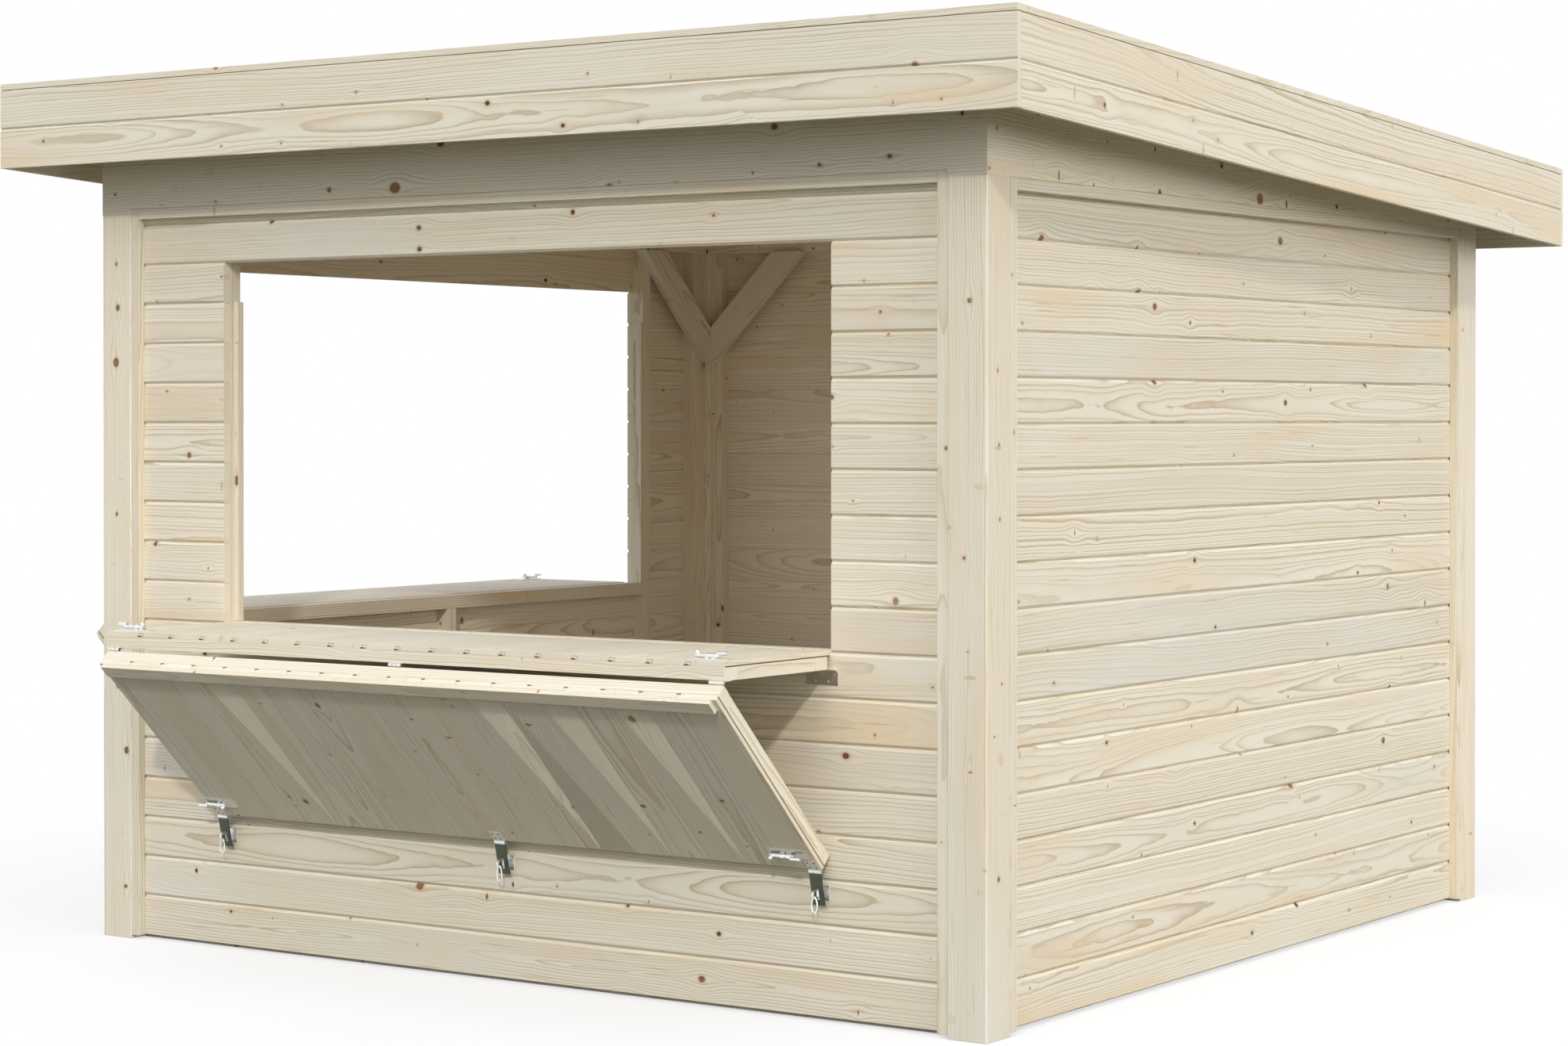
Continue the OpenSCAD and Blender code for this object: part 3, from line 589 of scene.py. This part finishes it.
class Shape:
    """Solids gathered for one piece."""

    def __init__(self):
        self.mesh = bmesh.new()

    def block(self, corner, *edges):
        """A block from one corner and its three edges."""
        e1, e2, e3 = edges
        low = [corner, corner + e1, corner + e1 + e2, corner + e2]
        ring = [self.mesh.verts.new(p) for p in low] + [self.mesh.verts.new(p + e3) for p in low]
        for face in ((0, 1, 2, 3), (4, 5, 6, 7), (0, 1, 5, 4), (1, 2, 6, 5), (2, 3, 7, 6), (3, 0, 4, 7)):
            self.mesh.faces.new([ring[i] for i in face])

    def loop(self, points, radius, normal, sides=10):
        """A closed wire through the points, which lie in one plane."""
        rows = []
        for i, point in enumerate(points):
            along = (points[(i + 1) % len(points)] - points[i - 1]).normalized()
            out = along.cross(normal)
            row = []
            for k in range(sides):
                turn = 2 * math.pi * k / sides
                spoke = math.cos(turn) * out + math.sin(turn) * normal
                row.append(self.mesh.verts.new(point + radius * spoke))
            rows.append(row)
        for i, row in enumerate(rows):
            after = rows[(i + 1) % len(rows)]
            for k in range(sides):
                j = (k + 1) % sides
                face = self.mesh.faces.new((row[k], row[j], after[j], after[k]))
                face.smooth = True

    def head(self, centre, e1, e2, out, radius=3 * MM, sides=12):
        """A low domed screw head with a shallow dimple."""
        rows = []
        for wide, high in ((1.0, 0.0), (0.94, 0.5), (0.6, 0.9), (0.3, 0.5)):
            turns = [2 * math.pi * k / sides for k in range(sides)]
            spots = [centre + radius * wide * (math.cos(t) * e1 + math.sin(t) * e2) for t in turns]
            rows.append([self.mesh.verts.new(p + out * high * MM) for p in spots])
        for row, after in zip(rows, rows[1:]):
            for k in range(sides):
                self.mesh.faces.new((row[k], row[k - 1], after[k - 1], after[k]))
        self.mesh.faces.new(rows[-1])
        self.mesh.faces.new(rows[0])

    def ball(self, centre, radius):
        place = Matrix.Translation(centre)
        made = bmesh.ops.create_icosphere(self.mesh, subdivisions=2, radius=radius, matrix=place)
        for face in {f for v in made["verts"] for f in v.link_faces}:
            face.smooth = True

    def piece(self, name, body, slot, material):
        bmesh.ops.recalc_face_normals(self.mesh, faces=self.mesh.faces)
        mesh = bpy.data.meshes.new(name)
        self.mesh.to_mesh(mesh)
        self.mesh.free()
        mesh.materials.append(material)
        obj = bpy.data.objects.new(name, mesh)
        bpy.context.scene.collection.objects.link(obj)
        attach(obj, body)


def gap_shade_material():
    """Painted shade for the dark inside of open grooves, holes and joints between boards."""
    material = bpy.data.materials.new("joint_gap_shade")
    material.use_nodes = True
    n = Net(material.node_tree)
    shader = material.node_tree.nodes["Principled BSDF"]
    place = n.add("ShaderNodeTexCoord", out=3)
    shade = n.noise(place, scale=160.0, detail=3.0)
    n.tree.links.new(n.mix(shade, rgb(84, 68, 52), rgb(132, 110, 86)), shader.inputs["Base Color"])
    n.tree.links.new(n.math("MULTIPLY_ADD", shade, 0.2, 0.65), shader.inputs["Roughness"])
    bump = n.add("ShaderNodeBump", named={"Strength": 0.4, "Distance": 0.0003, "Height": shade})
    n.tree.links.new(bump, shader.inputs["Normal"])
    return material


# Painted shade: a dark brown put where grooves, joints and screw holes are hollow.
GAP_SHADE = gap_shade_material()
LEAF_T = 15 * MM
HASP_W = 38 * MM
HASP_LEN = 95 * MM
HASP_EDGE = 4 * MM
HASP_LEAN = math.radians(13)
# The hasp's pin lies this far past the flap's end, and as far over its face.
HASP_PIN = 3 * MM
# The open end of the groove between two boards: width, height, depth and how far it is sunk.
GROOVE = (14.6 * MM, 3.6 * MM, 2.2 * MM)
SUNK = 0.8 * MM
LIFT = 0.2 * MM


class Hatch:
    """One hatch in its own directions: along the wall to the right, out from it, and up."""

    def __init__(self, side):
        self.side = side
        self.right = Vector((1, 0, 0)) if side == "front" else Vector((0, -1, 0))
        self.out = Vector((0, -1, 0)) if side == "front" else Vector((-1, 0, 0))
        self.up = Vector((0, 0, 1))
        self.counter = self.span(side + "_counter_boards")
        self.flap = self.span(side + "_flap_boards")
        diagonal = math.sqrt(0.5)
        # Along the flap from its hinge to its free edge, and out of its lower face.
        self.down = (-self.out - self.up) * diagonal
        self.face = (self.out - self.up) * diagonal
        self.left_end, self.right_end = self.flap[0][0], self.flap[1][0]
        top = self.flap[1][2] - LEAF_T * diagonal
        self.length = (top - self.flap[0][2]) / diagonal
        self.hinge_line = self.at(0, self.flap[1][1], top)
        self.pitch = (self.right_end - self.left_end) / LEAF_BOARDS
        self.hasp_pin = self.hinge_line + self.down * (self.length + HASP_PIN) + self.face * HASP_PIN

    def span(self, node):
        """Lowest and highest place of a node, in the hatch's own directions."""
        corners = [self.measure(p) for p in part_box(node)]
        return [[pick(c[i] for c in corners) for i in range(3)] for pick in (min, max)]

    def measure(self, point):
        return [point.dot(self.right), point.dot(self.out), point.dot(self.up)]

    def at(self, a, b, z):
        return self.right * a + self.out * b + self.up * z

    def joints(self):
        """Places of the joints between the leaf's boards."""
        return [self.left_end + self.pitch * k for k in range(1, LEAF_BOARDS)]

    def hasps(self):
        """Places of the three hasps: at both ends and in the middle."""
        first = self.left_end + HASP_EDGE + HASP_W / 2
        last = self.right_end - HASP_EDGE - HASP_W / 2
        return first, (first + last) / 2, last


def counter_joints(h):
    """Ends of the boards at the counter's front: a dark block of painted shade in the open groove's mouth,
    and the dark joint lines round the tongue.
    """
    shape, z = Shape(), h.counter[0][2]
    front = h.counter[1][1]
    wide, high, deep = GROOVE
    line, skin = 0.8 * MM, 0.25 * MM
    left, right, low, top = -1 * MM, 16 * MM, 1.5 * MM, 10 * MM
    foot_from, foot_w = 7.8 * MM, 7.2 * MM
    for a in h.joints():
        sunk = h.at(a - wide / 2, front - SUNK - deep, z + LIFT)
        shape.block(sunk, h.right * wide, h.out * deep, h.up * high)
        lines = (
            (left, top, right - left, line),
            (right - line, low, line, top - low - skin),
            (foot_from, low, foot_w, line),
        )
        for x, up, across, tall in lines:
            corner = h.at(a + x, front - skin, z + up)
            shape.block(corner, h.right * across, h.out * 2 * skin, h.up * tall)
    shape.piece(h.side + "_counter_joints", "base", "hatch_wood", GAP_SHADE)


def flap_joints(h):
    """The same painted shade in the groove mouths at the flap's hinge end, where the tongue shows as a dot.
    """
    shape = Shape()
    wide, high, deep = GROOVE
    dot, skin = 1.8 * MM, 0.25 * MM
    dot_across, dot_over = 15.5 * MM, 12 * MM
    for a in h.joints():
        inner = h.hinge_line + h.right * (a - wide / 2) - h.face * (LEAF_T - LIFT) + h.down * SUNK
        shape.block(inner, h.right * wide, h.face * high, h.down * deep)
        corner = h.hinge_line + h.right * (a + dot_across) - h.face * dot_over - h.down * skin
        shape.block(corner, h.right * dot, h.face * dot, h.down * 2 * skin)
    shape.piece(h.side + "_flap_joints", h.side + "_flap", "hatch_wood", GAP_SHADE)


def side_grooves(h):
    """A thin dark sheet of painted shade in the open groove along the last board's edge, on the counter and
    on the flap.
    """
    skin, high, lift, short = 0.3 * MM, 3.4 * MM, 0.3 * MM, 2 * MM
    low, top = h.counter
    shape = Shape()
    start = h.at(top[0] - skin, low[1] + short, low[2] + lift)
    length = top[1] - low[1] - 2 * short
    shape.block(start, h.out * length, h.up * high, h.right * 2 * skin)
    shape.piece(h.side + "_counter_groove", "base", "hatch_wood", GAP_SHADE)
    shape = Shape()
    start = h.hinge_line + h.right * (h.right_end - skin) - h.face * (LEAF_T - lift) + h.down * short
    shape.block(start, h.down * (h.length - 2 * short), h.face * high, h.right * 2 * skin)
    shape.piece(h.side + "_flap_groove", h.side + "_flap", "hatch_wood", GAP_SHADE)


def hasp_faces(h):
    """Front skins of the straps, closed above and below the staple."""
    shape = Shape()
    strap = -h.out * math.sin(HASP_LEAN) - h.up * math.cos(HASP_LEAN)
    face = h.out * math.cos(HASP_LEAN) - h.up * math.sin(HASP_LEAN)
    half, slot, skin = HASP_W / 2, 4 * MM, 0.9 * MM
    start, slot_from, slot_to, end = 5 * MM, 49 * MM, 79 * MM, HASP_LEN - 0.5 * MM
    fields = (
        (-half, half, start, slot_from),
        (-half, -slot, slot_from, slot_to),
        (slot, half, slot_from, slot_to),
        (-half, half, slot_to, end),
    )
    for a in h.hasps():
        for x0, x1, s0, s1 in fields:
            corner = h.hasp_pin + h.right * (a + x0) + strap * s0 + face * skin
            shape.block(corner, h.right * (x1 - x0), strap * (s1 - s0), face * skin)
    shape.piece(h.side + "_hasp_faces", h.side + "_flap", "zinc", FLAP_ZINC)


def hasp_screws(h):
    """Screws recessed in the four holes of each hasp plate, painted with the dark gap shade of the holes."""
    shape = Shape()
    over_plate, across, back = 1.9 * MM, 10 * MM, (9 * MM, 29 * MM)
    corner = h.hinge_line + h.down * h.length + h.face * over_plate
    for a in h.hasps():
        for x in (-across, across):
            for y in back:
                centre = corner + h.right * (a + x) - h.down * y
                shape.head(centre, h.right, h.down, h.face)
    shape.piece(h.side + "_hasp_screws", h.side + "_flap", "zinc", GAP_SHADE)


def snap_hooks(h):
    """A wire snap hook hanging in each staple: a loop that widens downwards, with two knobs."""
    shape = Shape()
    out = h.hasp_pin.dot(h.out) + 2.4 * MM
    top = h.hasp_pin.dot(h.up) - 67.4 * MM
    wire, long, narrow, widening, points = 1.9 * MM, 42 * MM, 6 * MM, 5 * MM, 28
    knobs = ((3 * MM, 41.4 * MM, 3 * MM), (-4.5 * MM, 39.5 * MM, 2.6 * MM))
    for a in h.hasps():
        spots = []
        for k in range(points):
            turn = 2 * math.pi * k / points
            fall = (1 - math.cos(turn)) / 2
            reach = math.sin(turn) * (narrow + widening * fall)
            spots.append(h.at(a + reach, out, top - long * fall))
        shape.loop(spots, wire, h.out)
        for across, down, radius in knobs:
            shape.ball(h.at(a + across, out, top - down), radius)
    shape.piece(h.side + "_snap_hooks", "base", "zinc", COUNTER_ZINC)


for hatch in (Hatch("front"), Hatch("left")):
    counter_joints(hatch)
    flap_joints(hatch)
    side_grooves(hatch)
    hasp_faces(hatch)
    hasp_screws(hatch)
    snap_hooks(hatch)

# ---------------------------------------------------------------- floor, light, camera


ROOM = (
    Vector((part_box("left_wall_lower")[1].x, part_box("front_wall_lower")[1].y, 0)),
    Vector((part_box("right_wall")[0].x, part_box("back_wall")[0].y, 0)),
)
FLOOR_RADIUS = 60


def seen_directly(n):
    """1 where the camera sees a surface itself, or in a mirror or through glass."""
    path = n.tree.nodes.new("ShaderNodeLightPath")
    seen = n.math("MAXIMUM", path.outputs["Is Camera Ray"], path.outputs["Is Glossy Ray"])
    return n.math("MAXIMUM", seen, path.outputs["Is Transmission Ray"])


def outside_room(n, x, y):
    """0 on the ground between the four walls, 1 outside them."""
    low, high = ROOM
    past_x = n.math("ABSOLUTE", n.math("SUBTRACT", x, (low.x + high.x) / 2))
    past_y = n.math("ABSOLUTE", n.math("SUBTRACT", y, (low.y + high.y) / 2))
    past_x = n.math("SUBTRACT", past_x, (high.x - low.x) / 2)
    past_y = n.math("SUBTRACT", past_y, (high.y - low.y) / 2)
    return n.ramp(n.math("MAXIMUM", past_x, past_y), -0.02, 0.0)


def floor_material():
    """A white floor for the camera that keeps the shadow, darker for the light it throws back.
    Inside the room it has only the light that falls on it."""
    material = bpy.data.materials.new("floor")
    material.use_nodes = True
    tree = material.node_tree
    tree.nodes.clear()
    n = Net(tree)
    place = n.add("ShaderNodeTexCoord", out=3)
    x, y, _ = n.xyz(place)
    away = n.math("SQRT", n.math("ADD", square(n, x), square(n, y)))
    grain = n.noise(place, scale=3.0, detail=3.0)
    matte = n.add("ShaderNodeBsdfDiffuse", n.mix(grain, rgb(246, 246, 246), rgb(250, 250, 250)))
    dark = n.add("ShaderNodeBsdfDiffuse", rgb(97, 98, 84))
    white = n.add("ShaderNodeEmission", (1, 1, 1, 1), 1.0)
    # The share of plain white grows from the building outwards, where no shadow falls.
    share = n.math("MULTIPLY", n.ramp(away, 2.6, 5.5, 0.62, 1.0), outside_room(n, x, y))
    shown = n.add("ShaderNodeMixShader", share, matte, white)
    surface = n.add("ShaderNodeMixShader", seen_directly(n), dark, shown)
    end = tree.nodes.new("ShaderNodeOutputMaterial")
    tree.links.new(surface, end.inputs["Surface"])
    return material


def make_floor():
    mesh = bpy.data.meshes.new("floor")
    shape = bmesh.new()
    bmesh.ops.create_circle(shape, cap_ends=True, segments=96, radius=FLOOR_RADIUS)
    bmesh.ops.translate(shape, verts=shape.verts, vec=(0, 0, cad_box[0][2] - 0.001))
    shape.to_mesh(mesh)
    shape.free()
    obj = bpy.data.objects.new("floor", mesh)
    bpy.context.scene.collection.objects.link(obj)
    mesh.materials.append(floor_material())


def sun(name, azimuth, elevation, angle, strength, color):
    """A lamp far away. azimuth is degrees to the right of straight ahead of the front, and angle
    is the lamp's apparent width, for soft shadows."""
    data = bpy.data.lights.new(name, "SUN")
    data.energy = strength
    data.angle = math.radians(angle)
    data.color = color
    obj = bpy.data.objects.new(name, data)
    a, e = math.radians(azimuth), math.radians(elevation)
    towards = Vector((math.sin(a) * math.cos(e), -math.cos(a) * math.cos(e), math.sin(e)))
    obj.rotation_euler = towards.to_track_quat("Z", "Y").to_euler()
    bpy.context.scene.collection.objects.link(obj)


def make_world():
    world = bpy.data.worlds.new("studio")
    bpy.context.scene.world = world
    world.use_nodes = True
    tree = world.node_tree
    tree.nodes.clear()
    n = Net(tree)
    sky = n.add("ShaderNodeBackground", (0.90, 0.92, 0.97, 1), 0.74)
    white = n.add("ShaderNodeBackground", (1, 1, 1, 1), 1.0)
    surface = n.add("ShaderNodeMixShader", seen_directly(n), sky, white)
    end = tree.nodes.new("ShaderNodeOutputWorld")
    tree.links.new(surface, end.inputs["Surface"])


def make_inner_fill():
    """A weak warm lamp in the middle of the room, for the light that walls pass to each other."""
    data = bpy.data.lights.new("inner_fill", "POINT")
    data.energy = 11.5
    data.color = (1.0, 0.86, 0.70)
    data.shadow_soft_size = 0.6
    obj = bpy.data.objects.new("inner_fill", data)
    obj.location = (0.0, 0.3, 1.15)
    bpy.context.scene.collection.objects.link(obj)


def make_camera():
    """A long lens from the front right, at eye height and almost level."""
    data = bpy.data.cameras.new("camera")
    data.sensor_width = 36
    data.lens = 76.6
    data.shift_y = -0.052
    camera = bpy.data.objects.new("camera", data)
    camera.location = (6.119, -8.748, 1.606)
    tilt_down, turn_left = 0.445, 34.44
    camera.rotation_euler = (math.radians(90 - tilt_down), 0, math.radians(turn_left))
    bpy.context.scene.collection.objects.link(camera)
    bpy.context.scene.camera = camera


make_floor()
make_world()
sun("key", azimuth=31, elevation=30, angle=3, strength=0.97, color=(1.0, 0.965, 0.90))
sun("front", azimuth=5, elevation=40, angle=30, strength=0.56, color=(1.0, 0.98, 0.95))
sun("right", azimuth=82, elevation=12, angle=30, strength=1.17, color=(1.0, 0.95, 0.87))
sun("above", azimuth=45, elevation=70, angle=50, strength=0.52, color=(0.76, 0.88, 1.0))
make_inner_fill()
make_camera()
bpy.context.scene.view_settings.view_transform = "Standard"
